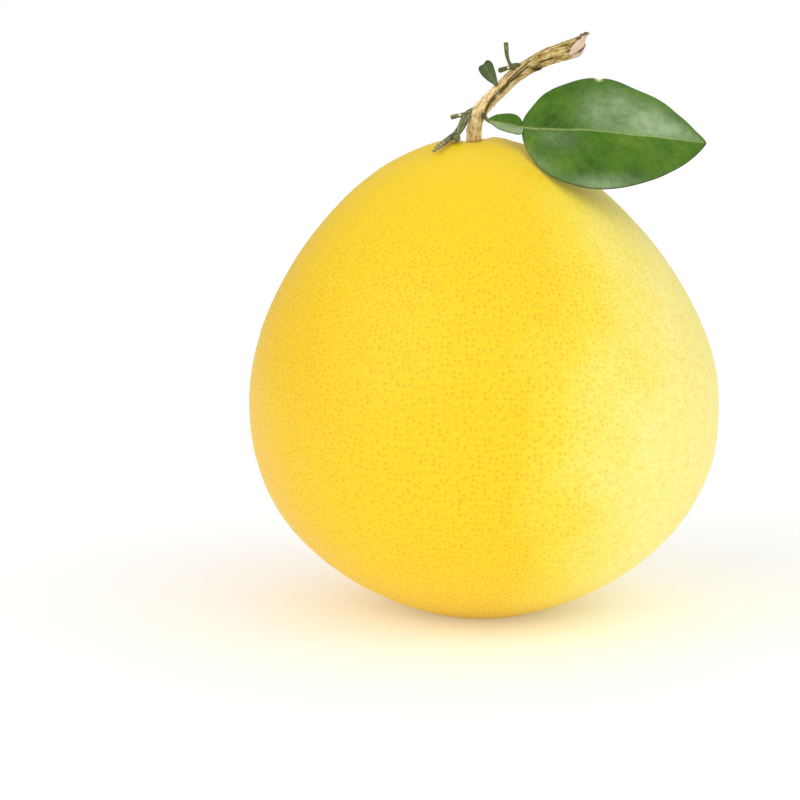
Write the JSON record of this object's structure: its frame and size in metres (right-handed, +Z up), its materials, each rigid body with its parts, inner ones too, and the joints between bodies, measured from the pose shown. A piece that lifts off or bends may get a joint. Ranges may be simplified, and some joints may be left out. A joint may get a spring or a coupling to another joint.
{
  "type": "pomelo",
  "caption": "Whole pomelo as picked: large yellow pear-shaped citrus fruit on a small flat spot, with its cut twig, pruned side shoots and a leaf.",
  "frame": {"origin": "middle of the flat spot that the fruit rests on", "axes": "+Z up along the fruit to its stem end; +X towards the leaf and the twig's cut end; -Y towards the front, where the leaf faces"},
  "size_m": [0.1556, 0.1545, 0.1911],
  "materials": {
    "rind": "satin oily rind, pitted with fine glands",
    "green_button": "matt",
    "bark": "matt bark with fine ridges, pale wood at the cut",
    "young_bark": "matt",
    "leaf_green": "waxy sheen"
  },
  "bodies": {
    "root": {"fruit": "rind", "calyx": "green_button", "twig": "bark", "upper_shoot": "young_bark", "lower_shoot": "young_bark", "bare_petiole": "leaf_green", "leaf": "leaf_green"}
  },
  "joints": []
}
